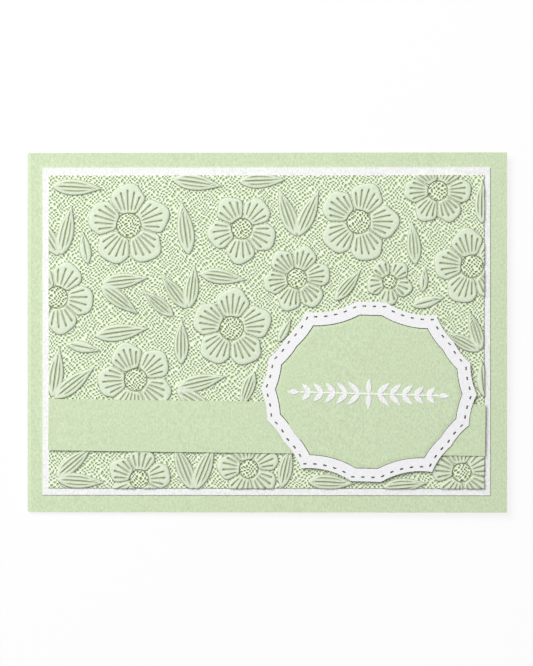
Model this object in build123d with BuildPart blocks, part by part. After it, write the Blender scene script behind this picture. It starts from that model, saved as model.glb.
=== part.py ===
from build123d import *

import os
from math import atan2, cos, degrees, pi, radians, sin, tan

# A handmade greeting card that lies closed on its back leaf, front up, with the fold at -X.
# Sizes are in millimetres. The origin is on the table, under the middle of the card.

# Folded sheet
card_width = 140.0
card_height = 105.0
stock = 0.35  # thickness of the folded sheet
fold_gap = 0.4  # clear space between the leaves where they leave the fold
leaf_opening = 0.8  # degrees by which the front leaf springs up
fold_corner_radius = 0.8  # rounding of the two corners at the fold, seen from above

# Double-sided tape between the layers
tape_thickness = 0.08
tape_width = 6.0
tape_inset = 4.0  # from the edge of the sheet that it holds
tape_break = 1.5  # between the ends of two strips

# White mat
mat_border = 4.75  # of the folded sheet left in view round the mat
mat_shift = (-0.25, 0.35)
mat_thickness = 0.3

# Embossed panel
panel_side_border = 1.75  # of the mat left in view at the sides
panel_end_border = 2.1  # of the mat left in view above and below
panel_shift = (0.06, -0.15)  # from the middle of the mat
panel_sheet = 0.25  # thickness of the sheet between the motifs
relief_height = 0.45
relief_slope = 40.0  # degrees of the motifs' sides from upright
panel_trim = 16.0  # of the embossed sheet cut away on each side
valley = 0.7  # between two petals
petal_tip_sides = 6  # chords round the tip of a petal
button_share = 0.28  # radius of a blossom's middle, as a share of the blossom's
button_sides = 14
leaf_plumpness = 0.27  # width of a leaf, as a share of its length
leaf_width_extra = 0.6
leaf_belly = 0.35  # where a leaf is widest, as a share of its length
leaf_shoulder = 0.7  # where it narrows to its tip, as a share of its length
leaf_shoulder_share = 0.68  # half width there, as a share of the widest
spray_spread = 22.0  # degrees between the axis of a pair of leaves and each leaf
spray_start = 0.9  # from the foot of a pair to its leaves
groove_width = 0.62  # at the top of the relief
groove_depth = 0.32
petal_groove_spread = 15.0  # degrees between two of the three grooves of a petal
petal_groove_span = (0.46, 0.86)  # from the blossom's middle, as shares of its radius
leaf_groove_span = (0.16, 0.76)  # from the leaf's foot, as shares of its length

# Blossoms of five and of six petals: x and y from the panel's middle, radius, turn in degrees
five_petal_blossoms = [
    (-40.0, 31.0, 12.5, 20.0),
    (-7.0, 30.0, 10.5, 50.0),
    (27.0, 32.0, 12.0, 0.0),
    (60.0, 19.0, 11.5, 30.0),
    (-61.0, 10.0, 11.0, 65.0),
    (-10.0, 1.0, 12.0, 15.0),
    (-38.0, -14.0, 11.5, 40.0),
    (-37.0, -43.0, 9.5, 10.0),
    (-5.0, -40.0, 9.5, 30.0),
    (57.0, -41.0, 9.5, 25.0),
    (36.0, 14.5, 7.0, 50.0),
]
six_petal_blossoms = [
    (9.0, 15.5, 10.0, 10.0),
    (50.0, 41.0, 10.0, 0.0),
]
# Single leaves and pairs that open from one foot: x and y of the foot, length of a leaf, turn in degrees
single_leaves = [
    (-62.5, 42.5, 15.0, -3.0),
    (-22.5, 22.5, 16.0, 98.0),
    (-27.5, 44.5, 15.0, -8.0),
    (-50.0, -1.2, 16.0, 8.0),
    (-24.7, -9.5, 13.5, 90.0),
    (-3.5, -11.5, 12.0, -110.0),
    (-58.0, -3.5, 10.0, -12.0),
    (-8.0, 43.8, 14.0, 2.0),
    (43.5, 19.5, 13.0, 95.0),
    (62.8, 31.5, 13.0, 90.0),
    (42.5, 7.5, 10.0, 15.0),
    (63.5, -19.0, 11.0, 95.0),
    (4.5, -45.5, 13.0, 78.0),
    (12.0, -43.5, 14.0, -3.0),
    (34.0, -45.2, 13.0, 5.0),
    (20.0, 9.0, 12.0, 50.0),
    (-19.5, 17.0, 14.0, -8.0),
    (-27.0, 4.5, 12.0, 140.0),
    (-52.0, 19.8, 10.0, 100.0),
    (45.6, 11.6, 7.5, 85.0),
    (3.6, -3.0, 8.0, 62.0),
]
leaf_pairs = [
    (-60.0, 21.5, 15.0, 100.0),
    (-49.0, 14.0, 14.0, -15.0),
    (-22.5, 6.0, 13.0, 105.0),
    (-27.0, -16.5, 15.0, -9.0),
    (-62.5, -20.0, 15.0, 60.0),
    (9.0, 27.0, 15.0, 88.0),
    (63.0, -6.0, 12.0, 130.0),
    (-62.0, -43.0, 14.0, 18.0),
    (-21.0, -47.0, 15.0, 90.0),
]

# Plain band across the panel
band_height = 15.0
band_thickness = 0.25
band_rise = 17.85  # from the panel's lower edge up to the band's middle
band_turn = -0.7  # degrees
band_overhang = 0.2  # past the panel's right edge
band_tape_inset = 3.0  # from the band's ends

# Scalloped label: a stitched ring with the middle set into its opening
label_reach = 33.7  # from the panel's right edge to the label's middle
label_rise = 28.25  # from the panel's lower edge up to the label's middle
label_turn = -1.5  # degrees
label_corners = [(4.3, 26.1), (19.0, 22.8), (24.3, 15.1), (29.3, 9.0), (31.35, 0.0)]
label_hollows = [1.3, 0.55, 0.4, 0.5]  # depth of the hollow arc between two corners
ring_thickness = 0.3
ring_width = 3.75
kerf = 0.2  # gap round the middle
middle_shift = (0.05, -0.05)  # the middle sits a little low and right in its opening
middle_thickness = 0.3
middle_edge_thickness = 0.18
middle_rim_width = 0.9
stitch_count = 60
stitch_inset = 1.25  # from the ring's outer edge
stitch_length = 1.0
stitch_width = 0.45
label_tape_length = 46.0
label_tape_width = 8.0
label_tape_drop = 10.4  # from the label's middle down to its tape

# Leaf sprig laid on the middle
sprig_length = 47.0
sprig_thickness = 0.15
sprig_rise = -0.6  # from the label's middle up to the stem
stem_width = 0.5
sprig_pairs = 5  # of leaves, on each side
sprig_leaf = 5.0  # length of the largest leaf
sprig_leaf_width = 1.6
sprig_leaf_belly = 0.45  # where a leaf is widest, as a share of its length
sprig_leaf_shrink = 0.08  # share of the length lost from one pair to the next
sprig_heading = 45.0  # degrees between the stem and a leaf
sprig_start = 2.6  # from the middle to the first pair

# Levels above the front leaf, from the bottom layer up
mat_level = tape_thickness
panel_tape_level = mat_level + mat_thickness
panel_level = panel_tape_level + tape_thickness
band_tape_level = panel_level + panel_sheet + relief_height
band_level = band_tape_level + tape_thickness
label_tape_level = band_level + band_thickness
label_level = label_tape_level + tape_thickness

# Sizes that follow from the borders
mat_width = card_width - 2 * mat_border
mat_height = card_height - 2 * mat_border
panel_width = mat_width - 2 * panel_side_border
panel_height = mat_height - 2 * panel_end_border
band_width = panel_width + band_overhang

# The front leaf turns about the middle of the bend
bend_radius = (fold_gap + stock) / 2
fold_reach = bend_radius + stock / 2
fold_x = fold_reach - card_width / 2
leaf_length = card_width / 2 - fold_x
rise = sin(radians(leaf_opening))
run = cos(radians(leaf_opening))
front_middle = (-fold_x * run - fold_reach * rise, -fold_x * rise + fold_reach * run)
front_leaf = Plane(
    origin=(fold_x + front_middle[0], 0, fold_reach + front_middle[1]),
    x_dir=(run, 0, rise),
    z_dir=(-rise, 0, run),
)


def on_leaf(x, y, level, turn=0.0):
    """Plane at x, y on the front leaf, at a level above its face and turned within that face."""
    return Plane(front_leaf.location * Location((x, y, level), (0, 0, turn)))


panel_x = mat_shift[0] + panel_shift[0]
panel_y = mat_shift[1] + panel_shift[1]
band_x = panel_x + band_overhang / 2
band_y = panel_y - panel_height / 2 + band_rise
label_x = panel_x + panel_width / 2 - label_reach
label_y = panel_y - panel_height / 2 + label_rise
middle_plane = Plane(on_leaf(label_x, label_y, label_level, label_turn).location * Location(middle_shift))


def tape_frame(plane, width, height):
    """Four strips of tape just inside the edge of a sheet of this width and height."""
    across = width - 2 * tape_inset
    up = height - 2 * tape_inset
    with BuildPart() as strips:
        with BuildSketch(plane):
            with GridLocations(0, up - tape_width, 1, 2):
                Rectangle(across, tape_width)
            with GridLocations(across - tape_width, 0, 2, 1):
                Rectangle(tape_width, up - 2 * (tape_width + tape_break))
        extrude(amount=tape_thickness)
    return strips


def petal(radius, petals):
    """One petal along +X: its sides keep to its share of the turn, and its tip is half a round."""
    half = pi / petals
    start = button_share * radius + valley
    foot_x = start * cos(half) + valley / 2 * sin(half)
    foot_y = start * sin(half) - valley / 2 * cos(half)
    tip_x = (radius + valley / 2 / cos(half)) / (1 + tan(half))
    tip_radius = radius - tip_x
    turns = [pi * (side / petal_tip_sides - 0.5) for side in range(petal_tip_sides + 1)]
    tip = [(tip_x + tip_radius * cos(turn), tip_radius * sin(turn)) for turn in turns]
    with BuildSketch() as outline:
        with BuildLine():
            Polyline((foot_x, -foot_y), *tip, (foot_x, foot_y), close=True)
        make_face()
    return outline.sketch


def blossom(radius, petals):
    """A round middle with its petals about it."""
    with BuildSketch() as motif:
        RegularPolygon(button_share * radius, button_sides)
        with PolarLocations(0, petals):
            add(petal(radius, petals))
    return motif.sketch


def blossom_grooves(radius, petals):
    """Solids that cut three grooves in each petal, downwards from the top of the relief."""
    inner, outer = (share * radius for share in petal_groove_span)
    with BuildPart() as grooves:
        with BuildSketch():
            for turn in (-petal_groove_spread, 0, petal_groove_spread):
                with PolarLocations((inner + outer) / 2, petals, turn):
                    Rectangle(outer - inner, groove_width)
        extrude(amount=groove_depth, taper=relief_slope)
    return Rot(180, 0, 0) * grooves.part


def leaf(length, start):
    """One lance-shaped leaf along +X, with its foot at this start."""
    half_width = (leaf_plumpness * length + leaf_width_extra) / 2
    belly = (start + leaf_belly * length, half_width)
    shoulder = (start + leaf_shoulder * length, leaf_shoulder_share * half_width)
    with BuildSketch() as outline:
        with BuildLine():
            Polyline((start, 0), (belly[0], -belly[1]), (shoulder[0], -shoulder[1]), (start + length, 0))
            mirror(about=Plane.XZ)
        make_face()
    return outline.sketch


def leaf_groove(length, start):
    """Solid that cuts the groove along the middle of a leaf, downwards from the top of the relief."""
    inner, outer = (start + share * length for share in leaf_groove_span)
    with BuildPart() as groove:
        with BuildSketch():
            with Locations(((inner + outer) / 2, 0)):
                Rectangle(outer - inner, groove_width)
        extrude(amount=groove_depth, taper=relief_slope)
    return Rot(180, 0, 0) * groove.part


def all_motifs(blossom_form, leaf_form):
    """Every motif of the panel at its place, made by these two functions."""
    motifs = []
    for petals, blossoms in ((5, five_petal_blossoms), (6, six_petal_blossoms)):
        for x, y, radius, turn in blossoms:
            motifs.append(Location((x, y, 0), (0, 0, turn)) * blossom_form(radius, petals))
    for x, y, length, turn in single_leaves:
        motifs.append(Location((x, y, 0), (0, 0, turn)) * leaf_form(length, 0))
    for x, y, length, turn in leaf_pairs:
        for spread in (-spray_spread, spray_spread):
            motifs.append(Location((x, y, 0), (0, 0, turn + spread)) * leaf_form(length, spray_start))
    return motifs


def label_outline(inset=0.0):
    """The scalloped outline, moved inwards by the inset."""
    with BuildSketch() as outline:
        with BuildLine():
            Line((0, label_corners[0][1]), label_corners[0])
            for start, end, hollow in zip(label_corners, label_corners[1:], label_hollows):
                SagittaArc(start, end, -hollow)
            mirror(about=Plane.YZ)
            mirror(about=Plane.XZ)
        make_face()
        if inset:
            offset(amount=-inset, kind=Kind.INTERSECTION, mode=Mode.REPLACE)
    return outline.sketch


def sprig_leaf_outline(length):
    """One kite-shaped leaf along +X with its foot at the origin."""
    belly = sprig_leaf_belly * length
    with BuildSketch() as outline:
        with BuildLine():
            Polyline(
                (0, 0),
                (belly, sprig_leaf_width / 2),
                (length, 0),
                (belly, -sprig_leaf_width / 2),
                close=True,
            )
        make_face()
    return outline.sketch


# Folded sheet: one strip of card bent through the fold, with the front leaf a little open
with BuildPart() as card_base:
    with BuildSketch(Plane.XZ):
        with BuildLine():
            back = Line((card_width / 2, stock / 2), (fold_x, stock / 2))
            bend = JernArc(back @ 1, back % 1, bend_radius, leaf_opening - 180)
            Line(bend @ 1, bend @ 1 + (bend % 1) * leaf_length)
        trace(line_width=stock)
    extrude(amount=card_height / 2, both=True)
    with BuildSketch() as seen_from_above:
        with Locations((-card_width / 2, 0)):
            Rectangle(2 * card_width, card_height, align=(Align.MIN, Align.CENTER))
        fillet(seen_from_above.vertices().group_by(Axis.X)[0], fold_corner_radius)
    extrude(amount=card_height, mode=Mode.INTERSECT)

# White mat on its tape
mat_tape = tape_frame(on_leaf(*mat_shift, 0), mat_width, mat_height)

with BuildPart() as white_mat:
    with BuildSketch(on_leaf(*mat_shift, mat_level)):
        Rectangle(mat_width, mat_height)
    extrude(amount=mat_thickness)

# Embossed panel on its tape: motifs raised from a larger sheet, which is then trimmed
panel_tape = tape_frame(on_leaf(panel_x, panel_y, panel_tape_level), panel_width, panel_height)

with BuildPart() as embossed_panel:
    with BuildSketch(on_leaf(panel_x, panel_y, panel_level)):
        Rectangle(panel_width + 2 * panel_trim, panel_height + 2 * panel_trim)
    extrude(amount=panel_sheet)
    with BuildSketch(on_leaf(panel_x, panel_y, panel_level + panel_sheet)):
        add(all_motifs(blossom, leaf))
    extrude(amount=relief_height, taper=relief_slope)
    with Locations(on_leaf(panel_x, panel_y, panel_level + panel_sheet + relief_height)):
        add(all_motifs(blossom_grooves, leaf_groove), mode=Mode.SUBTRACT)
    with BuildSketch(on_leaf(panel_x, panel_y, panel_level)):
        Rectangle(panel_width, panel_height)
    extrude(amount=panel_sheet + relief_height, mode=Mode.INTERSECT)

# Plain band on its tape, which lies on the tops of the motifs
with BuildPart() as band_tape:
    with BuildSketch(on_leaf(band_x, band_y, band_tape_level, band_turn)):
        Rectangle(band_width - 2 * band_tape_inset, tape_width)
    extrude(amount=tape_thickness)

with BuildPart() as plain_band:
    with BuildSketch(on_leaf(band_x, band_y, band_level, band_turn)):
        Rectangle(band_width, band_height)
    extrude(amount=band_thickness)

# Label: its tape lies on the band and holds both the ring and the middle
with BuildPart() as label_tape:
    with BuildSketch(on_leaf(label_x, label_y, label_tape_level, label_turn)):
        with Locations((0, -label_tape_drop)):
            Rectangle(label_tape_length, label_tape_width)
    extrude(amount=tape_thickness)

stitch_line = label_outline(stitch_inset).face().outer_wire()
stitch_spots = []
for stitch in range(stitch_count):
    along = stitch / stitch_count
    heading = stitch_line % along
    turn = degrees(atan2(heading.Y, heading.X))
    stitch_spots.append(Location(stitch_line @ along, (0, 0, turn)))

with BuildPart() as stitched_ring:
    with BuildSketch(on_leaf(label_x, label_y, label_level, label_turn)):
        add(label_outline())
        add(label_outline(ring_width), mode=Mode.SUBTRACT)
        with Locations(stitch_spots):
            Rectangle(stitch_length, stitch_width, mode=Mode.SUBTRACT)
    extrude(amount=ring_thickness)

with BuildPart() as label_middle:
    with BuildSketch(middle_plane):
        add(label_outline(ring_width + kerf))
    extrude(amount=middle_edge_thickness)
    with BuildSketch(middle_plane.offset(middle_edge_thickness)):
        add(label_outline(ring_width + kerf))
    with BuildSketch(middle_plane.offset(middle_thickness)):
        add(label_outline(ring_width + kerf + middle_rim_width))
    loft(ruled=True)

# Leaf sprig: a stem with pairs of leaves that shrink away from the middle
with BuildPart() as leaf_sprig:
    with BuildSketch(middle_plane.offset(middle_thickness)):
        with Locations((0, sprig_rise)):
            tip_start = sprig_length / 2 - sprig_leaf * (1 - sprig_leaf_shrink * sprig_pairs)
            Rectangle(2 * tip_start + sprig_leaf_width, stem_width)
            with PolarLocations(0, 2, start_angle=90):
                add(sprig_leaf_outline(sprig_leaf * (1 - sprig_leaf_shrink)))
            for pair in range(sprig_pairs):
                away = sprig_start + (tip_start - sprig_start) * pair / sprig_pairs
                length = sprig_leaf * (1 - sprig_leaf_shrink * pair)
                with PolarLocations(away, 2):
                    with PolarLocations(0, 2, -sprig_heading, 2 * sprig_heading, endpoint=True):
                        add(sprig_leaf_outline(length))
            with PolarLocations(tip_start, 2):
                add(sprig_leaf_outline(sprig_length / 2 - tip_start))
    extrude(amount=sprig_thickness)

os.makedirs("parts", exist_ok=True)

card_base.part.label = "card_base"
export_step(card_base.part, "parts/card_base.step")
mat_tape.part.label = "mat_tape"
export_step(mat_tape.part, "parts/mat_tape.step")
white_mat.part.label = "white_mat"
export_step(white_mat.part, "parts/white_mat.step")
panel_tape.part.label = "panel_tape"
export_step(panel_tape.part, "parts/panel_tape.step")
embossed_panel.part.label = "embossed_panel"
export_step(embossed_panel.part, "parts/embossed_panel.step")
band_tape.part.label = "band_tape"
export_step(band_tape.part, "parts/band_tape.step")
plain_band.part.label = "plain_band"
export_step(plain_band.part, "parts/plain_band.step")
label_tape.part.label = "label_tape"
export_step(label_tape.part, "parts/label_tape.step")
stitched_ring.part.label = "stitched_ring"
export_step(stitched_ring.part, "parts/stitched_ring.step")
label_middle.part.label = "label_middle"
export_step(label_middle.part, "parts/label_middle.step")
leaf_sprig.part.label = "leaf_sprig"
export_step(leaf_sprig.part, "parts/leaf_sprig.step")
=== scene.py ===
"""Greeting card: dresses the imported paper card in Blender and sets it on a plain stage."""

from math import cos, hypot, pi, radians, sin, tan

import bpy
import numpy as np
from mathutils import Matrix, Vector


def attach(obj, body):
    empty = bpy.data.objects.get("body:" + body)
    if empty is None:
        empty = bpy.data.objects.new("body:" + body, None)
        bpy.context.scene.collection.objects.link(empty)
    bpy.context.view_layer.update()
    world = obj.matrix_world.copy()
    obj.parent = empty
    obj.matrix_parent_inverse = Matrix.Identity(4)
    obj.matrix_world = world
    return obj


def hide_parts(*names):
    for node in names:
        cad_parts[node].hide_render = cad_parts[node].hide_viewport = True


bl_info = {
    "name": "Greeting Card",
    "version": (1, 0, 0),
    "blender": (4, 5, 0),
    "location": "3D View > Sidebar > Card",
    "description": "Embossed panel, leaf sprig, papers and stage for a handmade greeting card",
    "category": "Object",
}

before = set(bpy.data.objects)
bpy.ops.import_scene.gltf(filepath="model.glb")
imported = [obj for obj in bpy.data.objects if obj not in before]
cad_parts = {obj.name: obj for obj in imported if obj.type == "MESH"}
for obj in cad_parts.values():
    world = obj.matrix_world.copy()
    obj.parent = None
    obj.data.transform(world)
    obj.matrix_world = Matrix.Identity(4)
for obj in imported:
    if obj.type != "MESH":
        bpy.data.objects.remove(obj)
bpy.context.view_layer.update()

MM = 0.001
BODY = "root"

# Sizes in millimetres, as in the part's source

# Folded sheet
card_width = 140.0
card_height = 105.0
stock = 0.35
fold_gap = 0.4  # between the leaves at the fold
leaf_opening = radians(0.8)

# Embossed panel, placed from the middle of the front leaf
panel_place = (-0.19, 0.20)
panel_size = (127.0, 91.3)
panel_level = 0.46
panel_sheet = 0.25  # thickness of the sheet between the motifs

# Band
band_rise = 17.85  # from the panel's lower edge up to the band's middle
band_height = 15.0
band_overhang = 0.2  # past the panel's right edge
band_turn = radians(-0.7)

# Label: the stitched ring and its middle
label_rise = 28.25  # from the panel's lower edge up to the label's middle
label_reach = 33.7  # from the panel's right edge to the label's middle
label_turn = radians(-1.5)
label_level = 1.57
middle_shift = (0.05, -0.05)
middle_thickness = 0.3
# Corners in the upper right quarter of the outline. The other quarters mirror it.
label_corners = ((0.0, 26.1), (4.3, 26.1), (19.0, 22.8), (24.3, 15.1), (29.3, 9.0), (31.35, 0.0))

# Sprig of leaves on the label's middle
sprig_length = 47.0
sprig_thickness = 0.15
sprig_rise = -0.6  # from the label's middle up to the stem
sprig_pairs = 5  # of leaves, on each side
sprig_leaf = 5.0  # length of the largest leaf
sprig_leaf_width = 1.6
sprig_leaf_shrink = 0.08  # share of the length lost from one pair to the next
sprig_heading = radians(45.0)  # between the stem and a leaf
sprig_start = 2.6  # from the middle to the first pair
stem_width = 0.5

# Pressed motifs
relief_height = 0.45
button_share = 0.28  # radius of a blossom's middle, as a share of the blossom's
leaf_plumpness = 0.27  # width of a leaf, as a share of its length
leaf_width_extra = 0.6
pair_spread = radians(22.0)  # between the axis of a pair of leaves and each leaf
pair_start = 0.9  # from the foot of a pair to its leaves

# Sizes of the embossed sheet alone, which is finer than the solid

petal_gap = 0.4  # valley between two petals
groove_half_width = 0.3
pit_cells = 4  # cells of the grid from one row of pits to the next
calm_edge = 4.0  # along the sheet's edge, where the rows of pits come to lie straight

# Distances inwards from an edge over which the ground's pits fade out towards a motif, a button's
# pits set in, and the relief turns flat under the band and under the label
ground_pits_end = (-0.45, -0.1)
button_pits_start = (-0.1, 0.2)
band_cover = (0.5, 1.2)
label_cover = (1.6, 2.4)

# How a form rises with the distance inwards from its edge: the distances between which its side
# climbs, the share of the relief's height that it has there, the distances between which it domes
# up, and the share that this adds
petal_form = ((-0.1, 0.42), 0.84, (0.2, 2.4), 0.16)
leaf_form = ((-0.1, 0.42), 0.88, (0.3, 1.8), 0.12)
button_form = ((-0.15, 0.35), 0.5, (0.0, 2.5), 0.2)

# Waves across and up, each with its height, its pace along x and along y, and its start: long ones
# that bend the rows of pits, and short ones, measured in rows, that make the pits uneven
row_bends = (
    ((0.34, 0.31, 0.23, 0.0), (0.26, 0.17, -0.52, 1.3)),
    ((0.34, -0.33, 0.26, 0.7), (0.26, 0.55, 0.19, 2.1)),
)
pit_strays = (
    ((0.12, 2.1, 0.9, 0.0), (0.11, -1.7, 1.3, 0.4), (0.09, 0.5, 2.7, 1.9)),
    ((0.12, -1.1, 1.9, 2.6), (0.11, 1.4, 1.6, 0.0), (0.09, 2.9, -0.7, 0.8)),
)

# Motifs of the panel, from its middle: x, y, radius or length in millimetres, turn in degrees
five_petal_blossoms = (
    (-40.0, 31.0, 12.5, 20.0),
    (-7.0, 30.0, 10.5, 50.0),
    (27.0, 32.0, 12.0, 0.0),
    (60.0, 19.0, 11.5, 30.0),
    (-61.0, 10.0, 11.0, 65.0),
    (-10.0, 1.0, 12.0, 15.0),
    (-38.0, -14.0, 11.5, 40.0),
    (-37.0, -43.0, 9.5, 10.0),
    (-5.0, -40.0, 9.5, 30.0),
    (57.0, -41.0, 9.5, 25.0),
    (36.0, 14.5, 7.0, 50.0),
)
six_petal_blossoms = (
    (9.0, 15.5, 10.0, 10.0),
    (50.0, 41.0, 10.0, 0.0),
)
single_leaves = (
    (-62.5, 42.5, 15.0, -3.0),
    (-22.5, 22.5, 16.0, 98.0),
    (-27.5, 44.5, 15.0, -8.0),
    (-50.0, -1.2, 16.0, 8.0),
    (-24.7, -9.5, 13.5, 90.0),
    (-3.5, -11.5, 12.0, -110.0),
    (-58.0, -3.5, 10.0, -12.0),
    (-8.0, 43.8, 14.0, 2.0),
    (43.5, 19.5, 13.0, 95.0),
    (62.8, 31.5, 13.0, 90.0),
    (42.5, 7.5, 10.0, 15.0),
    (63.5, -19.0, 11.0, 95.0),
    (4.5, -45.5, 13.0, 78.0),
    (12.0, -43.5, 14.0, -3.0),
    (34.0, -45.2, 13.0, 5.0),
    (20.0, 9.0, 12.0, 50.0),
    (-19.5, 17.0, 14.0, -8.0),
    (-27.0, 4.5, 12.0, 140.0),
    (-52.0, 19.8, 10.0, 100.0),
    (45.6, 11.6, 7.5, 85.0),
    (3.6, -3.0, 8.0, 62.0),
)
leaf_pairs = (
    (-60.0, 21.5, 15.0, 100.0),
    (-49.0, 14.0, 14.0, -15.0),
    (-22.5, 6.0, 13.0, 105.0),
    (-27.0, -16.5, 15.0, -9.0),
    (-62.5, -20.0, 15.0, 60.0),
    (9.0, 27.0, 15.0, 88.0),
    (63.0, -6.0, 12.0, 130.0),
    (-62.0, -43.0, 14.0, 18.0),
    (-21.0, -47.0, 15.0, 90.0),
)

band_place = (
    panel_place[0] + band_overhang / 2,
    panel_place[1] - panel_size[1] / 2 + band_rise,
)
label_place = (
    panel_place[0] + panel_size[0] / 2 - label_reach,
    panel_place[1] - panel_size[1] / 2 + label_rise,
)


# Settings that a user would change


class CardPaper(bpy.types.PropertyGroup):
    """Colours and surface of the papers"""

    green: bpy.props.FloatVectorProperty(
        name="Green paper",
        description="Colour of the folded sheet, the panel, the band and the label's middle",
        default=(0.617, 0.723, 0.490),
        size=3,
        min=0.0,
        max=1.0,
        subtype="COLOR",
    )
    white: bpy.props.FloatVectorProperty(
        name="White paper",
        description="Colour of the mat, the stitched ring and the sprig",
        default=(0.900, 0.894, 0.912),
        size=3,
        min=0.0,
        max=1.0,
        subtype="COLOR",
    )
    # Colour of the slot walls: partly painted shade inside the slots, partly browning by the cut
    slot_wall_shade_and_burn: bpy.props.FloatVectorProperty(
        name="Cut edge of the slots",
        description="Colour of the small walls inside the stitch slots",
        default=(0.060, 0.042, 0.032),
        size=3,
        min=0.0,
        max=1.0,
        subtype="COLOR",
    )
    mottle: bpy.props.FloatProperty(
        name="Mottle",
        description="How much the paper's tone varies",
        default=0.13,
        min=0.0,
        max=0.5,
        subtype="FACTOR",
    )
    tooth: bpy.props.FloatProperty(
        name="Tooth",
        description="Height of the fibres that stand out of the paper's face",
        default=0.055 * MM,
        min=0.0,
        unit="LENGTH",
    )


class CardRelief(bpy.types.PropertyGroup):
    """Depths of the pressed panel"""

    pit_depth: bpy.props.FloatProperty(
        name="Pit depth",
        description="Depth of the small pits in the ground and in the blossoms' buttons",
        default=0.34 * MM,
        min=0.0,
        unit="LENGTH",
    )
    groove_depth: bpy.props.FloatProperty(
        name="Groove depth",
        description="Depth of the grooves in petals and leaves",
        default=0.32 * MM,
        min=0.0,
        unit="LENGTH",
    )
    # Painted shade: how much darker and yellower the colour is made in the grooves, pits and
    # outlines
    cavity_shade: bpy.props.FloatProperty(
        name="Cavity",
        description="How much deeper the paper's colour is in its grooves and pits",
        default=0.62,
        min=0.0,
        max=1.0,
        subtype="FACTOR",
    )


class CardStage(bpy.types.PropertyGroup):
    """Camera and lights"""

    camera_height: bpy.props.FloatProperty(
        name="Camera height",
        description="Distance of the camera above the table",
        default=0.6,
        min=0.1,
        unit="LENGTH",
    )
    key_power: bpy.props.FloatProperty(
        name="Key light",
        description="Power of the soft box at the upper left, in watts",
        default=10.7,
        min=0.0,
        unit="POWER",
    )
    fill: bpy.props.FloatProperty(
        name="Fill light",
        description="Strength of the even light from all round",
        default=0.28,
        min=0.0,
        subtype="FACTOR",
    )


# Places on the front leaf


def leaf_axes():
    """Origin and axes of the front leaf's face: it turns about the middle of the bend by the
    opening."""
    reach = (fold_gap + stock) / 2 + stock / 2
    fold_x = reach - card_width / 2
    run, rise = cos(leaf_opening), sin(leaf_opening)
    origin = (fold_x - fold_x * run - reach * rise, 0.0, reach - fold_x * rise + reach * run)
    return np.array(origin), np.array((run, 0.0, rise)), np.array((-rise, 0.0, run))


def on_leaf(x, y, level):
    """Points in metres for leaf coordinates in millimetres: the leaf's origin, plus x along the
    leaf, plus y, plus the level along its normal."""
    origin, along, up = leaf_axes()
    x, y, level = (np.ravel(value) for value in np.broadcast_arrays(x, y, level))
    points = origin + x[:, None] * along + level[:, None] * up
    points[:, 1] += y
    return points * MM


def turned(x, y, place, turn):
    """The coordinates of x, y seen from a motif at this place that is turned by this angle."""
    dx, dy = x - place[0], y - place[1]
    return dx * cos(turn) + dy * sin(turn), dy * cos(turn) - dx * sin(turn)


def set_out(x, y, place, turn):
    """The reverse: where a motif's own x, y lies, once it is turned and put in its place."""
    return (
        place[0] + x * cos(turn) - y * sin(turn),
        place[1] + x * sin(turn) + y * cos(turn),
    )


def side_factors(start, end):
    """Three factors for a side of the label's outline: across times the first, plus up times the
    second, plus the third is the distance inwards from that side."""
    dx, dy = end[0] - start[0], end[1] - start[1]
    length = hypot(dx, dy)
    return dy / length, -dx / length, (start[1] * dx - start[0] * dy) / length


label_sides = tuple(map(side_factors, label_corners, label_corners[1:]))


def label_depths(across, up):
    """Distances inwards from the label's sides, for arrays or shader values in one quarter."""
    return [across * first + up * second + third for first, second, third in label_sides]


def step(value, low, high):
    """0 below low, 1 above high, and a smooth 3t^2 - 2t^3 between."""
    t = np.clip((value - low) / (high - low), 0.0, 1.0)
    return t * t * (3.0 - 2.0 * t)


def swell(value, start, full, fading, end):
    """1 between full and fading, and 0 before the start and after the end."""
    return step(value, start, full) * step(-value, -end, -fading)


def soft_least(*depths, softness=0.22):
    """A rounded minimum: minus the softness times the log of the sum of exp(-depth / softness)."""
    stack = np.stack(np.broadcast_arrays(*depths)) / -softness
    top = stack.max(0)
    return -softness * (top + np.log(np.exp(stack - top).sum(0)))


def waves(x, y, parts):
    """Sum of sine waves over the plane: each is its height times the sine of its pace along x
    times x, plus its pace along y times y, plus its start."""
    return sum(high * np.sin(along * x + up * y + start) for high, along, up, start in parts)


# Relief of the panel, as heights over its own coordinates in millimetres


def raised(inside, slope, level, dome, crown):
    """Height at a distance inwards from an edge: a step over the slope up to the level, and over
    the dome one more step that adds the crown. Both are shares of the relief's height."""
    return relief_height * step(inside, *slope) * (level + crown * step(inside, *dome))


def petal_depth(x, y, radius, petals, wave):
    """Distance inwards from a petal's edge: the softened least of its distances to the side line
    of its wedge, to its round tip and to its foot. The wave draws the tip in a little in places."""
    half = pi / petals
    tip_x = (radius + petal_gap / 2 / cos(half)) / (1 + tan(half))
    tip_radius = radius - tip_x
    side = x * sin(half) - np.abs(y) * cos(half) - petal_gap / 2
    past = np.maximum(x - tip_x, 0.0)
    bearing = np.arctan2(y, np.maximum(x - tip_x, 0.01))
    lobes = 0.05 * tip_radius * (1 - np.cos(4.0 * bearing + wave))
    tip = tip_radius - np.hypot(past, y) - lobes * step(past, 0.0, 0.5 * tip_radius)
    foot = x - button_share * radius + 0.1
    return soft_least(side, tip, foot)


def lines_beside(offset, spacing, strength):
    """Grooves as a vector over the surface: its angle is the share of the spacing by which a point
    lies beside a groove, its length is the spacing, and its third part is the groove's strength.
    The vector turns evenly from one groove to the next, so the points of a mesh carry it well."""
    angle = 2 * pi * offset / spacing
    parts = np.broadcast_arrays(spacing * np.cos(angle), spacing * np.sin(angle), strength)
    return np.stack(parts, -1)


def groove_profile(lines):
    """Share of a groove's depth at points with this vector: a bell curve across the groove."""
    spacing = np.hypot(lines[..., 0], lines[..., 1])
    across = np.arctan2(lines[..., 1], lines[..., 0]) / (2 * pi) * spacing
    width = np.minimum(groove_half_width, groove_half_width * spacing + 1e-6)
    return lines[..., 2] * np.exp(-((across / width) ** 2))


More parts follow.
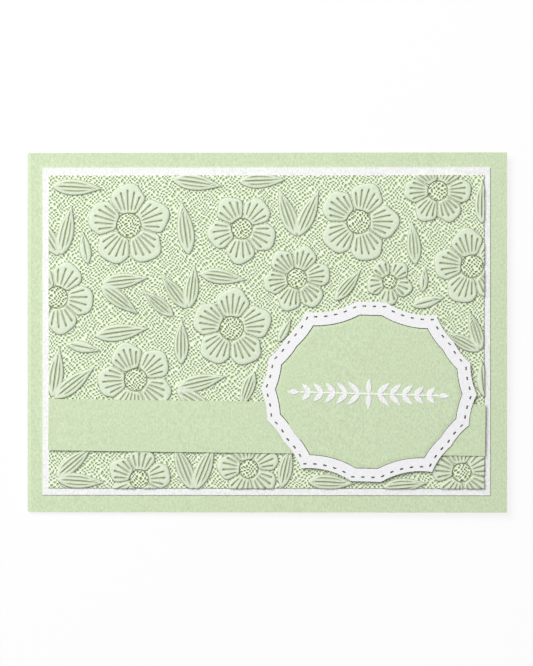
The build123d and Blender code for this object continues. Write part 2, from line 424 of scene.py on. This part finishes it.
def petal_lines(r, bearing, radius, petals):
    """Three to five grooves that fan out over four fifths of a petal's angle, each with a strength
    that fades at both ends and is greatest just before its end. A groove that is n rays from the
    middle one starts 0.35 + 0.3 n outside the button and ends at the radius times
    0.84 - 0.04 n^1.5."""
    count = 5 if radius > 11.2 else 4 if radius > 8 else 3
    spacing = 1.62 * pi / petals / count
    turn = bearing + (count - 1) / 2 * spacing
    ray = np.round(turn / spacing) - (count - 1) / 2
    outer = radius * (0.84 - 0.04 * np.abs(ray) ** 1.5)
    inner = button_share * radius + 0.35 + 0.3 * np.abs(ray)
    along = swell(r, inner - 0.2, inner + 0.9, outer - 0.3, outer)
    along = along * (0.85 + 0.35 * step(r, outer - 1.4, outer - 0.3))
    return lines_beside(r * turn, r * spacing, along * (np.abs(ray) <= (count - 1) / 2))


def blossom_relief(x, y, radius, petals, groove):
    """A blossom about the origin: its height, the distance inwards from the edge of a petal and
    from the edge of the button, and the grooves as a vector."""
    r = np.hypot(x, y)
    bearing = np.arctan2(y, x)
    share = 2 * pi / petals
    petal = np.round(bearing / share)
    own = bearing - petal * share
    edge = petal_depth(r * np.cos(own), r * np.sin(own), radius, petals, 1.7 * petal + radius)
    lines = petal_lines(r, own, radius, petals)
    button = button_share * radius - r
    on_button = button > button_form[0][0]
    grooved = raised(edge, *petal_form) - groove * groove_profile(lines)
    height = np.where(on_button, raised(button, *button_form), grooved)
    return np.maximum(height, 0.0), edge, button, lines


def leaf_half_width(t, widest):
    """Half width of a lance leaf at the share t of its length: t^0.8 (1 - t)^1.2, scaled so that
    it is widest at t = 0.4."""
    inside = np.clip(t, 0.0, 1.0)
    return widest * inside**0.8 * (1 - inside) ** 1.2 / (0.4**0.8 * 0.6**1.2)


def leaf_relief(x, y, length, start, groove):
    """A lance leaf along x, in the same four parts: a groove runs along its middle and, on a long
    leaf, one on each side of it that keeps at half the width."""
    t = (x - start) / length
    width = leaf_half_width(t, (leaf_plumpness * length + leaf_width_extra) / 2)
    edge = np.where((t > 0) & (t < 1), 0.94 * (width - np.abs(y)), -1.0)
    middle = swell(t, 0.06, 0.2, 0.8, 0.92)
    beside = swell(t, 0.14, 0.3, 0.6, 0.78) * (length > 11.5) * 0.75
    strength = np.where(np.abs(y) < 0.25 * width, middle, beside)
    lines = lines_beside(y, np.maximum(0.52 * width, 0.5), strength * step(edge, 0.2, 0.5))
    height = raised(edge, *leaf_form) - groove * groove_profile(lines)
    return np.maximum(height, 0.0), edge, np.full_like(x, -1.0), lines


def panel_relief(x, y, groove):
    """Height, edge, button and grooves over the whole panel: each point takes those of the motif
    in which, or to which, it lies nearest."""
    height = np.zeros_like(x)
    edge, button = np.full_like(x, -1.0), np.full_like(x, -1.0)
    lines = np.zeros(x.shape + (3,))

    def press(place, turn, reach, form, *sizes):
        """Adds one motif of this form and these sizes, to the points within its reach."""
        near = np.hypot(x - place[0], y - place[1]) < reach + 1.0
        own_x, own_y = turned(x[near], y[near], place, turn)
        new_height, new_edge, new_button, new_lines = form(own_x, own_y, *sizes, groove)
        closer = np.maximum(new_edge, new_button) > np.maximum(edge[near], button[near])
        height[near] = np.maximum(height[near], new_height)
        edge[near] = np.where(closer, new_edge, edge[near])
        button[near] = np.where(closer, new_button, button[near])
        lines[near] = np.where(closer[:, None], new_lines, lines[near])

    for petals, blossoms in ((5, five_petal_blossoms), (6, six_petal_blossoms)):
        for px, py, radius, turn in blossoms:
            press((px, py), radians(turn), radius, blossom_relief, radius, petals)
    leaves = [(px, py, length, radians(turn), 0.0) for px, py, length, turn in single_leaves]
    for px, py, length, turn in leaf_pairs:
        for spread in (-pair_spread, pair_spread):
            leaves.append((px, py, length, radians(turn) + spread, pair_start))
    for px, py, length, turn, start in leaves:
        press((px, py), turn, length + start, leaf_relief, length, start)
    return height, edge, button, lines


def wandering_grid(columns, rows):
    """Grid points over the panel, each moved by a sum of long waves, so that the rows of pits that
    follow the grid bend a little. The waves die out at the sheet's edges."""
    half_width, half_height = panel_size[0] / 2, panel_size[1] / 2
    across = np.linspace(-half_width, half_width, columns)
    up = np.linspace(-half_height, half_height, rows)
    x, y = np.meshgrid(across, up)
    inside = np.minimum(half_width - np.abs(x), half_height - np.abs(y))
    calm = step(inside, 0.0, calm_edge)
    dx, dy = (waves(x, y, parts) for parts in row_bends)
    return x + dx * calm, y + dy * calm


def pit_rows(columns, rows):
    """Place of each grid point among the pits, in pit rows across and up: its number in the grid
    over the cells to a row, moved by a sum of short waves."""
    x, y = np.meshgrid(np.arange(columns) / pit_cells, np.arange(rows) / pit_cells)
    dx, dy = (waves(x, y, parts) for parts in pit_strays)
    return x + dx, y + dy


def hidden_share(x, y):
    """How far a point of the front leaf lies under the band or the label: 1 well inside them, 0 in
    view."""
    up = turned(x, y, band_place, band_turn)[1]
    under_band = step(band_height / 2 - np.abs(up), *band_cover)
    across, up = turned(x, y, label_place, label_turn)
    inside = np.min(label_depths(np.abs(across), np.abs(up)), axis=0)
    return np.maximum(under_band, step(inside, *label_cover))


# Meshes


def make_piece(name, points, faces, material):
    """A smooth mesh object from arrays of points and faces, which rides on the card's body."""
    mesh = bpy.data.meshes.new(name)
    mesh.from_pydata(points.tolist(), [], faces)
    mesh.polygons.foreach_set("use_smooth", np.ones(len(mesh.polygons), bool))
    mesh.materials.append(material)
    mesh.update()
    piece = bpy.data.objects.new(name, mesh)
    bpy.context.scene.collection.objects.link(piece)
    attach(piece, BODY)
    return piece


def carry(mesh, name, values):
    """Gives each point of a mesh one number, or a row of three, as an attribute."""
    kind, field = ("FLOAT", "value") if values.ndim == 1 else ("FLOAT_VECTOR", "vector")
    mesh.attributes.new(name, kind, "POINT").data.foreach_set(field, values.ravel())


def grid_cells(corner):
    """Point numbers of the cells of a grid, anticlockwise seen from above."""
    return np.stack((corner[:-1, :-1], corner[:-1, 1:], corner[1:, 1:], corner[1:, :-1]), -1)


def grid_outline(corner):
    """Point numbers round a grid or a patch of it, anticlockwise seen from above."""
    return np.concatenate((corner[0, :-1], corner[:-1, -1], corner[-1, :0:-1], corner[:0:-1, 0]))


def blade(length, half_width, stations=17, sides=12, crease=0.0):
    """Closed flat blade along x: round its middle line runs a flattened oval, y = half width times
    the cosine and z = half the thickness times the sine to the power 0.35, and it closes to a
    point at both ends, near which a cosine crowds the stations. The crease is a furrow along the
    middle of its upper face: a bell curve, with its depth as a share of the thickness."""
    t = (1 - np.cos(np.linspace(0.0, pi, stations))) / 2
    angle = np.linspace(0.0, 2 * pi, sides, endpoint=False)
    t, angle = np.meshgrid(t[1:-1], angle, indexing="ij")
    y = half_width(t) * np.cos(angle)
    middle = sprig_thickness / 2
    z = middle * (1 + np.sign(np.sin(angle)) * np.abs(np.sin(angle)) ** 0.35)
    z = z - crease * sprig_thickness * np.exp(-((y / 0.12) ** 2)) * (np.sin(angle) > 0)
    points = np.stack((t * length, y, z), -1).reshape(-1, 3)
    ends = np.array(((0.0, 0.0, middle), (length, 0.0, middle)))
    ring = np.arange(t.size).reshape(t.shape)
    after = np.roll(ring, -1, 1)
    faces = np.stack((ring[:-1], after[:-1], after[1:], ring[1:]), -1).reshape(-1, 4).tolist()
    first, last = t.size, t.size + 1
    faces += [[first, b, a] for a, b in zip(ring[0], after[0])]
    faces += [[last, a, b] for a, b in zip(ring[-1], after[-1])]
    return np.vstack((points, ends)), faces


def stem_half_width(t):
    """Half width of the sprig's stem: even, and narrowed with the square root near both ends."""
    return stem_width / 2 * np.clip(t * (1 - t) * 60, 0.2, 1.0) ** 0.5


def sprig_leaf_half_width(t):
    """Half width of a leaf of the sprig: that of a lance leaf."""
    return leaf_half_width(t, sprig_leaf_width / 2)


# Materials


class Value:
    """A number that varies over a surface. An expression on it adds its Math nodes."""

    def __init__(self, shade, socket):
        self.shade = shade
        self.socket = socket

    def math(self, operation, *others):
        """One Math node, with this value first."""
        sockets = dict(enumerate((self, *others)))
        return self.shade.node("ShaderNodeMath", {"operation": operation}, sockets)

    def __add__(self, other):
        return self.math("ADD", other)

    def __mul__(self, other):
        return self.math("MULTIPLY", other)

    def __sub__(self, other):
        return self.math("SUBTRACT", other)

    def __rsub__(self, other):
        return self.shade.node("ShaderNodeMath", {"operation": "SUBTRACT"}, {0: other, 1: self})

    __radd__ = __add__
    __rmul__ = __mul__

    def step(self, low, high):
        """0 below low, 1 above high and smooth between."""
        sockets = {"Value": self, "From Min": low, "From Max": high}
        return self.shade.node("ShaderNodeMapRange", {"interpolation_type": "SMOOTHSTEP"}, sockets)


class Shade:
    """The node tree of one material, or of the world, written as expressions."""

    def __init__(self, block):
        self.block = block
        block.use_nodes = True
        self.tree = block.node_tree
        self.tree.nodes.clear()

    def feed(self, socket, value):
        """Links a varying value to a socket, or writes a constant on it."""
        if isinstance(value, Value):
            self.tree.links.new(value.socket, socket)
        else:
            socket.default_value = value

    def node(self, kind, settings=None, sockets=None, output=0):
        """Adds a node: its settings first, then the values or links of its sockets."""
        node = self.tree.nodes.new(kind)
        for setting, value in (settings or {}).items():
            setattr(node, setting, value)
        for key, value in (sockets or {}).items():
            self.feed(node.inputs[key], value)
        return Value(self, node.outputs[output])

    def mix(self, factor, low, high):
        """A colour between two colours."""
        sockets = {"Factor": factor, "A": low, "B": high}
        node = self.tree.nodes.new("ShaderNodeMix")
        node.data_type = "RGBA"
        for socket in node.inputs:
            if socket.enabled and socket.name in sockets:
                self.feed(socket, sockets[socket.name])
        return Value(self, next(socket for socket in node.outputs if socket.enabled))

    def coordinates(self, output="Object"):
        """Coordinates on the piece."""
        return self.node("ShaderNodeTexCoord", None, None, output)

    def attribute(self, name, output="Fac"):
        """A value that the points of the mesh carry."""
        return self.node("ShaderNodeAttribute", {"attribute_name": name}, None, output)

    def part(self, vector, name):
        """The X, Y or Z of a vector."""
        return self.node("ShaderNodeSeparateXYZ", None, {"Vector": vector}, name)

    def place(self, scale, turn=0.0, centre=(0.0, 0.0, 0.0)):
        """Object coordinates from a centre, turned about z, then scaled along each axis."""
        sockets = {"Vector": self.coordinates(), "Location": centre, "Rotation": (0.0, 0.0, turn)}
        spun = self.node("ShaderNodeMapping", {"vector_type": "TEXTURE"}, sockets)
        return self.node("ShaderNodeMapping", None, {"Vector": spun, "Scale": scale})

    def noise(self, pitch, detail=2.0, stretch=(1.0, 1.0, 1.0), roughness=0.5):
        """Cloudy noise from 0 to 1 whose features are about this pitch in metres."""
        place = self.place(tuple(axis / pitch for axis in stretch))
        sockets = {"Vector": place, "Scale": 1.0, "Detail": detail, "Roughness": roughness}
        return self.node("ShaderNodeTexNoise", None, sockets)

    def cloud_vector(self, pitch):
        """Cloudy noise with three parts, each about a half."""
        sockets = {"Vector": self.place((1 / pitch,) * 3), "Scale": 1.0, "Detail": 1.0}
        return self.node("ShaderNodeTexNoise", None, sockets, "Color")

    def spots(self, pitch, size, share):
        """Sparse small spots: 1 in the middle of some cells of this pitch, 0 elsewhere."""
        sockets = {"Vector": self.place((1 / pitch,) * 3), "Scale": 1.0}
        near = self.node("ShaderNodeTexVoronoi", None, sockets, "Distance")
        draw = self.node("ShaderNodeTexVoronoi", None, sockets, "Color")
        chance = self.node("ShaderNodeSeparateColor", None, {"Color": draw})
        chosen = chance.step(1 - share, 1 - share + 0.01)
        return (1 - near.step(size * 0.4, size)) * chosen

    def seen(self):
        """1 where the camera, gloss or glass sees a surface, and 0 where it lights others."""
        camera = self.node("ShaderNodeLightPath", None, None, "Is Camera Ray")
        gloss = self.node("ShaderNodeLightPath", None, None, "Is Glossy Ray")
        glass = self.node("ShaderNodeLightPath", None, None, "Is Transmission Ray")
        return camera.math("MAXIMUM", gloss).math("MAXIMUM", glass)

    def finish(self, color, roughness, height, distance, specular=0.25):
        """Ends the tree in one Principled shader, with a height as its bump: at a distance of 1 it
        is in metres, and otherwise it is a share of the distance."""
        bump = {"Height": height, "Distance": distance, "Strength": 1.0}
        sockets = {
            "Base Color": color,
            "Roughness": roughness,
            "Specular IOR Level": specular,
            "Normal": self.node("ShaderNodeBump", None, bump),
        }
        return self.output(self.node("ShaderNodeBsdfPrincipled", None, sockets))

    def output(self, shader, kind="ShaderNodeOutputMaterial"):
        """Links the shader to the tree's output, and gives back the material or the world."""
        self.tree.links.new(shader.socket, self.tree.nodes.new(kind).inputs["Surface"])
        return self.block


def tone(color, factor):
    """The colour made lighter or darker by a factor, as red, green, blue and alpha."""
    return tuple(min(1.0, channel * factor) for channel in color[:3]) + (1.0,)


def highlighted(color, share):
    """The colour moved towards white by a share: a painted highlight on the pressed paper's ridges
    and faces.
    """
    return tuple(channel + (1 - channel) * share for channel in color[:3]) + (1.0,)


def groove_shade_tone(color, factor):
    """The colour of painted shade deep in a groove: darker by a factor, and with little blue."""
    return (color[0] * factor * 0.93, color[1] * factor, color[2] * factor * 0.2, 1.0)


def paper_color(shade, color, mottle):
    """Paper's own tone: soft clouds, short fibres along the sheet and a few tiny flecks."""
    clouds = shade.noise(2.4 * MM, 2.0)
    fibres = shade.noise(0.5 * MM, 3.0, (1.1, 0.6, 1.0), 0.65)
    level = (clouds * 0.1 + fibres * 0.9).step(0.25, 0.75)
    even = shade.mix(level, tone(color, 1 - mottle), tone(color, 1 + mottle))
    flecks = shade.spots(2.6 * MM, 0.09, 0.12)
    return shade.mix(flecks * 0.35, even, tone(color, 0.45))


def paper_tooth(shade):
    """Height of the paper's face: fine felt and finer fibres."""
    felt, fibres = shade.noise(1.3 * MM, 1.0), shade.noise(0.5 * MM, 3.0, (0.7, 1.0, 1.0), 0.6)
    return fibres * 0.7 + felt * 0.6


def uncoated(shade, color, paper):
    """Ends a material as dull paper without a coating, in this colour."""
    rough = 0.9 + shade.noise(1.1 * MM) * 0.08
    return shade.finish(color, rough, paper_tooth(shade), paper.tooth)


def plain_paper(name, color, paper):
    """Smooth uncoated paper."""
    shade = Shade(bpy.data.materials.new(name))
    return uncoated(shade, paper_color(shade, color, paper.mottle), paper)


def band_paper(name, color, paper):
    """Smooth paper that is dark from about 1 mm inside the label's outline, where the label keeps
    the light off it. Only the stitch slots and the cut round the label's middle show that part."""
    shade = Shade(bpy.data.materials.new(name))
    centre = (label_place[0] * MM, label_place[1] * MM, 0.0)
    spot = shade.place((1 / MM,) * 3, label_turn, centre)
    inside, *others = label_depths(*(shade.part(spot, axis).math("ABSOLUTE") for axis in "XY"))
    for depth in others:
        inside = inside.math("MINIMUM", depth)
    surface = paper_color(shade, color, paper.mottle)
    return uncoated(shade, shade.mix(inside.step(0.7, 1.3), surface, tone(color, 0.2)), paper)


def folded_paper(name, color, paper):
    """Card with a painted highlight along the shoulder of its fold, and rubbed lighter in places
    along its edges.
    """
    shade = Shade(bpy.data.materials.new(name))
    surface = paper_color(shade, color, paper.mottle)
    x, y = (shade.part(shade.coordinates(), axis) for axis in "XY")
    half_width, half_height = card_width / 2 * MM, card_height / 2 * MM
    # Painted highlight: a lighter line 0.8 mm in from the fold, where the fold's shoulder catches
    # the light
    crease = 1 - (x + (half_width - 0.8 * MM)).math("ABSOLUTE").step(0.05 * MM, 0.4 * MM)
    edge_x = 1 - (half_width - x.math("ABSOLUTE")).step(0.05 * MM, 0.35 * MM)
    edge_y = 1 - (half_height - y.math("ABSOLUTE")).step(0.05 * MM, 0.35 * MM)
    worn = edge_x.math("MAXIMUM", edge_y) * shade.noise(3 * MM).step(0.4, 0.65)
    # The painted highlight along the fold, together with the lighter wear at the edges
    fold_highlight_and_wear = (crease * 0.5).math("MAXIMUM", worn * 0.35)
    return uncoated(shade, shade.mix(fold_highlight_and_wear, surface, tone(color, 1.22)), paper)


def groove_depths(shade):
    """Depth of the panel's grooves, from 0 to about 1, out of the vector that its mesh carries."""
    lines = shade.attribute("lines", "Vector")
    ahead, aside, strength = (shade.part(lines, axis) for axis in "XYZ")
    spacing = (ahead * ahead + aside * aside).math("SQRT")
    across = (aside.math("ARCTAN2", ahead) * spacing * (0.5 / pi)).math("ABSOLUTE")
    half_width = (spacing * 0.34).math("MINIMUM", 0.34)
    return (1 - across.step(0.0, half_width)) * strength


def pit_waves(shade):
    """Pits at 1 and the ridges between them at -1: the cosines of a point's place among the rows,
    which its mesh carries and a small cloud moves a little."""
    place, stray = shade.attribute("rows", "Vector"), shade.cloud_vector(1.3 * MM)
    row_x, row_y = (shade.part(place, axis) + shade.part(stray, axis) * 0.5 for axis in "XY")
    return (row_x * (2 * pi)).math("COSINE") * (row_y * (2 * pi)).math("COSINE")


def embossed_paper(name, color, paper, relief):
    """Pressed paper: motifs with crisp edges and grooves, buttons and a ground full of small pits
    in rows that bend with the mesh. Its colour has painted shade, darker and yellower, wherever it
    lies deep, and painted highlights that make the ridges and faces paler."""
    shade = Shade(bpy.data.materials.new(name))
    edge, button = shade.attribute("edge"), shade.attribute("button")
    groove, pits = groove_depths(shade), pit_waves(shade)
    on_button = button.step(-0.1, 0.1)
    pitted = (1 - edge.step(-0.25, 0.0)).math("MAXIMUM", on_button)
    pit, ridge = pits.step(0.0, 0.9) * pitted, (pits * -1).step(0.1, 0.85) * pitted
    rim = 1 - (button + 0.05).math("ABSOLUTE").step(0.0, 0.24)
    # Painted shade: a dark line along the edge of each motif
    outline = (1 - (edge + 0.08).math("ABSOLUTE").step(0.0, 0.18)) * (1 - on_button) * 0.55

    # Height in metres: the motifs' crisp edges, the grooves, the pits and the paper's tooth
    height = edge.step(-0.12, 0.2) * (0.25 * MM) - groove * relief.groove_depth
    height = height - (pit * (on_button * 0.7 + 1)).math("MAXIMUM", rim) * relief.pit_depth
    height = height + paper_tooth(shade) * paper.tooth

    # Colour: painted highlights make the ridges between the pits palest and the motifs and the
    # ground paler than plain paper; painted shade is deepest in grooves, pits and outlines
    highlit_smooth_part = paper_color(shade, highlighted(color, 0.27), paper.mottle * 0.6)
    highlit_rough_part = shade.mix(pitted, highlit_smooth_part, tone(color, 1.25))
    surface = shade.mix(ridge, highlit_rough_part, highlighted(color, 0.8))
    # Painted shade in the pits, the outlines, the rims round the buttons and the grooves
    painted_shade_share = (pit * (on_button * 0.35 + 1)).math("MAXIMUM", outline).math("MAXIMUM", rim)
    shaded = shade.mix((painted_shade_share + groove * 1.05) * relief.cavity_shade, surface, groove_shade_tone(color, 0.46))
    rough = 0.75 + shade.noise(1.1 * MM) * 0.1
    return shade.finish(shaded, rough, height, 1.0, 0.2)


def stitched_paper(name, color, slot_wall_shade_and_burn, paper):
    """White card with pierced slots: the small walls that stand upright are darkened, as painted
    shade inside the slots and as browning by the cutting."""
    shade = Shade(bpy.data.materials.new(name))
    surface = paper_color(shade, color, paper.mottle * 0.4)
    upright = 1 - shade.part(shade.coordinates("Normal"), "Z").math("ABSOLUTE").step(0.3, 0.7)
    # Upright walls take the dark colour: painted shade inside the slots, and browning by the cut
    cut = shade.mix(upright, surface, tone(slot_wall_shade_and_burn, 1.0))
    return shade.finish(cut, 0.92, paper_tooth(shade), paper.tooth)


def tape_film(name):
    """Thin double-sided tape: pale film with faint flow lines."""
    shade = Shade(bpy.data.materials.new(name))
    lines = shade.noise(2.0 * MM, 2.0, (0.15, 1.0, 1.0))
    color = shade.mix(lines, (0.78, 0.77, 0.70, 1.0), (0.86, 0.86, 0.82, 1.0))
    return shade.finish(color, 0.3 + lines * 0.15, lines, 0.01 * MM, 0.5)


# Operators


class EmbossedSheet(bpy.types.Operator):
    """Builds the embossed panel's sheet as one surface of heights over its face"""

    bl_idname = "card.embossed_sheet"
    bl_label = "Embossed sheet"

    # Blocks across and up, and the cells along a block's side. A block is one face where nothing
    # shows it.
    blocks = (99, 71)
    block_cells = 4
    # How much of the depth of grooves and pits is in the mesh. The material's bump sharpens them.
    mesh_share = 0.6

    def execute(self, context):
        relief, paper = context.scene.card_relief, context.scene.card_paper
        columns, rows = (count * self.block_cells + 1 for count in self.blocks)
        corner = np.arange(rows * columns).reshape(rows, columns)
        x, y = wandering_grid(columns, rows)
        height, edge, button, lines = panel_relief(x, y, self.mesh_share * relief.groove_depth / MM)
        row_x, row_y = pit_rows(columns, rows)
        pits = (1 + np.cos(2 * pi * row_x) * np.cos(2 * pi * row_y)) / 2
        on_button = step(button, *button_pits_start)
        pitted = np.maximum(1 - step(edge, *ground_pits_end), on_button)
        height = height - self.mesh_share * relief.pit_depth / MM * pits * pitted

        x, y = x + panel_place[0], y + panel_place[1]
        hidden = hidden_share(x, y)
        upper = on_leaf(x, y, panel_level + panel_sheet + height * (1 - hidden))
        faces, used = self.upper_faces(corner, hidden >= 1.0)
        rim = grid_outline(corner)
        points = np.vstack((upper[used], on_leaf(x, y, panel_level)[rim]))
        number = np.cumsum(used) - 1
        faces = [number[face].tolist() for face in faces]
        lower = used.sum() + np.arange(len(rim))
        sides = (np.roll(number[rim], -1), number[rim], lower, np.roll(lower, -1))
        faces += np.stack(sides, -1).tolist() + [lower[::-1].tolist()]

        material = embossed_paper("embossed green paper", paper.green, paper, relief)
        piece = make_piece("embossed_sheet", points, faces, material)
        for name, values in (("edge", edge), ("button", button)):
            carry(piece.data, name, np.append(values.ravel()[used], np.ones(len(rim))))
        places = np.stack((row_x, row_y, np.zeros_like(row_x)), -1)
        for name, values in (("lines", lines), ("rows", places)):
            table = np.vstack((values.reshape(-1, 3)[used], np.zeros((len(rim), 3))))
            carry(piece.data, name, table)
        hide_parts("embossed_panel")
        return {"FINISHED"}

    def upper_faces(self, corner, covered):
        """Cells in view as quads and covered blocks as single faces, with the points that they
        use."""
        size = self.block_cells
        rows, columns = corner.shape
        whole = np.ones(self.blocks[::-1], bool)
        for row in range(size + 1):
            for column in range(size + 1):
                whole &= covered[row : row + rows - 1 : size, column : column + columns - 1 : size]
        shown = ~np.repeat(np.repeat(whole, size, 0), size, 1)
        faces = grid_cells(corner)[shown].tolist()
        for row, column in np.argwhere(whole) * size:
            patch = corner[row : row + size + 1, column : column + size + 1]
            faces.append(grid_outline(patch).tolist())
        used = np.zeros(corner.size, bool)
        used[np.concatenate(faces)] = True
        return faces, used


class LeafSprig(bpy.types.Operator):
    """Builds the white sprig of leaves on the label's middle"""

    bl_idname = "card.leaf_sprig"
    bl_label = "Leaf sprig"

    # Depth of the crease along a leaf, as a share of its thickness
    crease = 0.35

    def execute(self, context):
        paper = context.scene.card_paper
        points, faces = np.empty((0, 3)), []
        for place, turn, (blade_points, blade_faces) in self.blades():
            x, y = set_out(blade_points[:, 0], blade_points[:, 1], place, turn)
            faces += [[corner + len(points) for corner in face] for face in blade_faces]
            points = np.vstack((points, np.stack((x, y, blade_points[:, 2]), -1)))
        x, y = points[:, 0] + middle_shift[0], points[:, 1] + middle_shift[1] + sprig_rise
        across, up = set_out(x, y, label_place, label_turn)
        placed = on_leaf(across, up, points[:, 2] + label_level + middle_thickness)
        material = plain_paper("white sprig paper", paper.white, paper)
        piece = make_piece("sprig_leaves", placed, faces, material)
        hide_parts("leaf_sprig")
        return {"FINISHED"}

    def blades(self):
        """Place, turn and shape of the stem and of each leaf, from the sprig's middle."""
        tip = sprig_length / 2 - sprig_leaf * (1 - sprig_leaf_shrink * sprig_pairs)
        stem = 2 * tip + sprig_leaf_width
        yield (-stem / 2, 0.0), 0.0, blade(stem, stem_half_width, stations=41)
        leaves = [(0.0, side * pi / 2, sprig_leaf * (1 - sprig_leaf_shrink)) for side in (-1, 1)]
        for side, heading in ((1, 0.0), (-1, pi)):
            for pair in range(sprig_pairs):
                away = sprig_start + (tip - sprig_start) * pair / sprig_pairs
                length = sprig_leaf * (1 - sprig_leaf_shrink * pair)
                for lean in (-sprig_heading, sprig_heading):
                    leaves.append((side * away, heading + lean, length))
            leaves.append((side * tip, heading, sprig_length / 2 - tip))
        for x, turn, length in leaves:
            yield (x, 0.0), turn, blade(length, sprig_leaf_half_width, crease=self.crease)


class Papers(bpy.types.Operator):
    """Gives the sheets that keep their solid shape their paper or tape"""

    bl_idname = "card.papers"
    bl_label = "Papers and tapes"

    def execute(self, context):
        paper = context.scene.card_paper
        finishes = {
            "card_base": folded_paper("folded green card", paper.green, paper),
            "white_mat": plain_paper("white mat paper", paper.white, paper),
            "plain_band": band_paper("band paper", paper.green, paper),
            "label_middle": plain_paper("smooth green paper", paper.green, paper),
            "stitched_ring": stitched_paper("stitched white card", paper.white, paper.slot_wall_shade_and_burn, paper),
        }
        # All other nodes are tapes, or solids that another piece replaces
        film = tape_film("double sided tape")
        for name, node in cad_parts.items():
            node.data.materials.clear()
            node.data.materials.append(finishes.get(name, film))
        return {"FINISHED"}


class Stage(bpy.types.Operator):
    """Sets the table, the lights and the camera straight above the card"""

    bl_idname = "card.stage"
    bl_label = "Stage"

    # Table: half its side and its depth below the card in metres, the share of light that it
    # gives back, and how much of what the camera sees of it is plain white
    table_half = 2.0
    table_depth = 0.02 * MM
    table_tone = 0.93
    table_white = 0.85

    # Soft box: its width and place in metres. It faces the card.
    key_size = 0.7
    key_place = (-0.44, 0.44, 0.82)

    # Camera: its place over the table, the height of the card's front and the width in view
    # there, all in metres, its sensor in millimetres, and the picture's height over its width
    camera_place = (-0.00012, -0.00013)
    front_height = 0.0021
    seen_width = 0.1555
    sensor_width = 36.0
    frame_ratio = 666 / 533

    def execute(self, context):
        scene = context.scene
        settings = scene.card_stage
        self.table(scene)
        self.key(scene, settings.key_power)
        self.world(scene, settings.fill)
        self.camera(scene, settings.camera_height)
        scene.view_settings.view_transform = "Standard"
        return {"FINISHED"}

    def table(self, scene):
        """A white square, a hair below the card so that their faces don't coincide."""
        signs = ((-1, -1), (1, -1), (1, 1), (-1, 1))
        corners = [(x * self.table_half, y * self.table_half, -self.table_depth) for x, y in signs]
        mesh = bpy.data.meshes.new("table")
        mesh.from_pydata(corners, [], [(0, 1, 2, 3)])
        table = bpy.data.objects.new("table", mesh)
        scene.collection.objects.link(table)
        shade = Shade(bpy.data.materials.new("white table"))
        paint = tone((1.0, 1.0, 1.0), self.table_tone)
        lit = shade.node("ShaderNodeBsdfDiffuse", None, {"Color": paint})
        sockets = {"Color": (1.0, 1.0, 1.0, 1.0), "Strength": 1.0}
        bright = shade.node("ShaderNodeEmission", None, sockets)
        share = shade.seen() * self.table_white
        both = shade.node("ShaderNodeMixShader", None, {0: share, 1: lit, 2: bright})
        mesh.materials.append(shade.output(both))

    def key(self, scene, power):
        """A round soft box at the upper left."""
        light = bpy.data.lights.new("key", "AREA")
        light.shape = "DISK"
        light.size = self.key_size
        light.energy = power
        lamp = bpy.data.objects.new("key", light)
        lamp.location = self.key_place
        lamp.rotation_euler = (-Vector(self.key_place)).to_track_quat("-Z", "Y").to_euler()
        scene.collection.objects.link(lamp)

    def world(self, scene, strength):
        """Even light of this strength from all round, which the camera sees as white."""
        shade = Shade(bpy.data.worlds.new("studio"))
        level = shade.seen() * (1 - strength) + strength
        sockets = {"Color": (1.0, 1.0, 1.0, 1.0), "Strength": level}
        sky = shade.node("ShaderNodeBackground", None, sockets)
        scene.world = shade.output(sky, "ShaderNodeOutputWorld")

    def camera(self, scene, height):
        """A camera that looks straight down and frames the width in view at the card's front."""
        data = bpy.data.cameras.new("camera")
        data.sensor_fit = "AUTO"
        data.sensor_width = self.sensor_width
        longer_side = self.seen_width * self.frame_ratio
        data.lens = self.sensor_width * (height - self.front_height) / longer_side
        camera = bpy.data.objects.new("camera", data)
        camera.location = (*self.camera_place, height)
        scene.collection.objects.link(camera)
        scene.camera = camera


class CardPanel(bpy.types.Panel):
    """Lists the card's settings and operators"""

    bl_idname = "VIEW3D_PT_greeting_card"
    bl_label = "Greeting card"
    bl_space_type = "VIEW_3D"
    bl_region_type = "UI"
    bl_category = "Card"

    def draw(self, context):
        for name in GROUPS:
            group = getattr(context.scene, name)
            box = self.layout.box()
            for setting in group.__annotations__:
                box.prop(group, setting)
        for operator in OPERATORS:
            self.layout.operator(operator.bl_idname)


GROUPS = {"card_paper": CardPaper, "card_relief": CardRelief, "card_stage": CardStage}
OPERATORS = (Papers, EmbossedSheet, LeafSprig, Stage)
CLASSES = (*GROUPS.values(), *OPERATORS, CardPanel)


def register():
    """Registers the classes and gives every scene the card's settings."""
    for cls in CLASSES:
        bpy.utils.register_class(cls)
    for name, group in GROUPS.items():
        setattr(bpy.types.Scene, name, bpy.props.PointerProperty(type=group))


def unregister():
    """Takes the settings and the classes away again."""
    for name in GROUPS:
        delattr(bpy.types.Scene, name)
    for cls in reversed(CLASSES):
        bpy.utils.unregister_class(cls)


def main():
    """Builds the card's scene."""
    register()
    bpy.ops.card.papers()
    bpy.ops.card.embossed_sheet()
    bpy.ops.card.leaf_sprig()
    bpy.ops.card.stage()


if __name__ == "__main__":
    main()
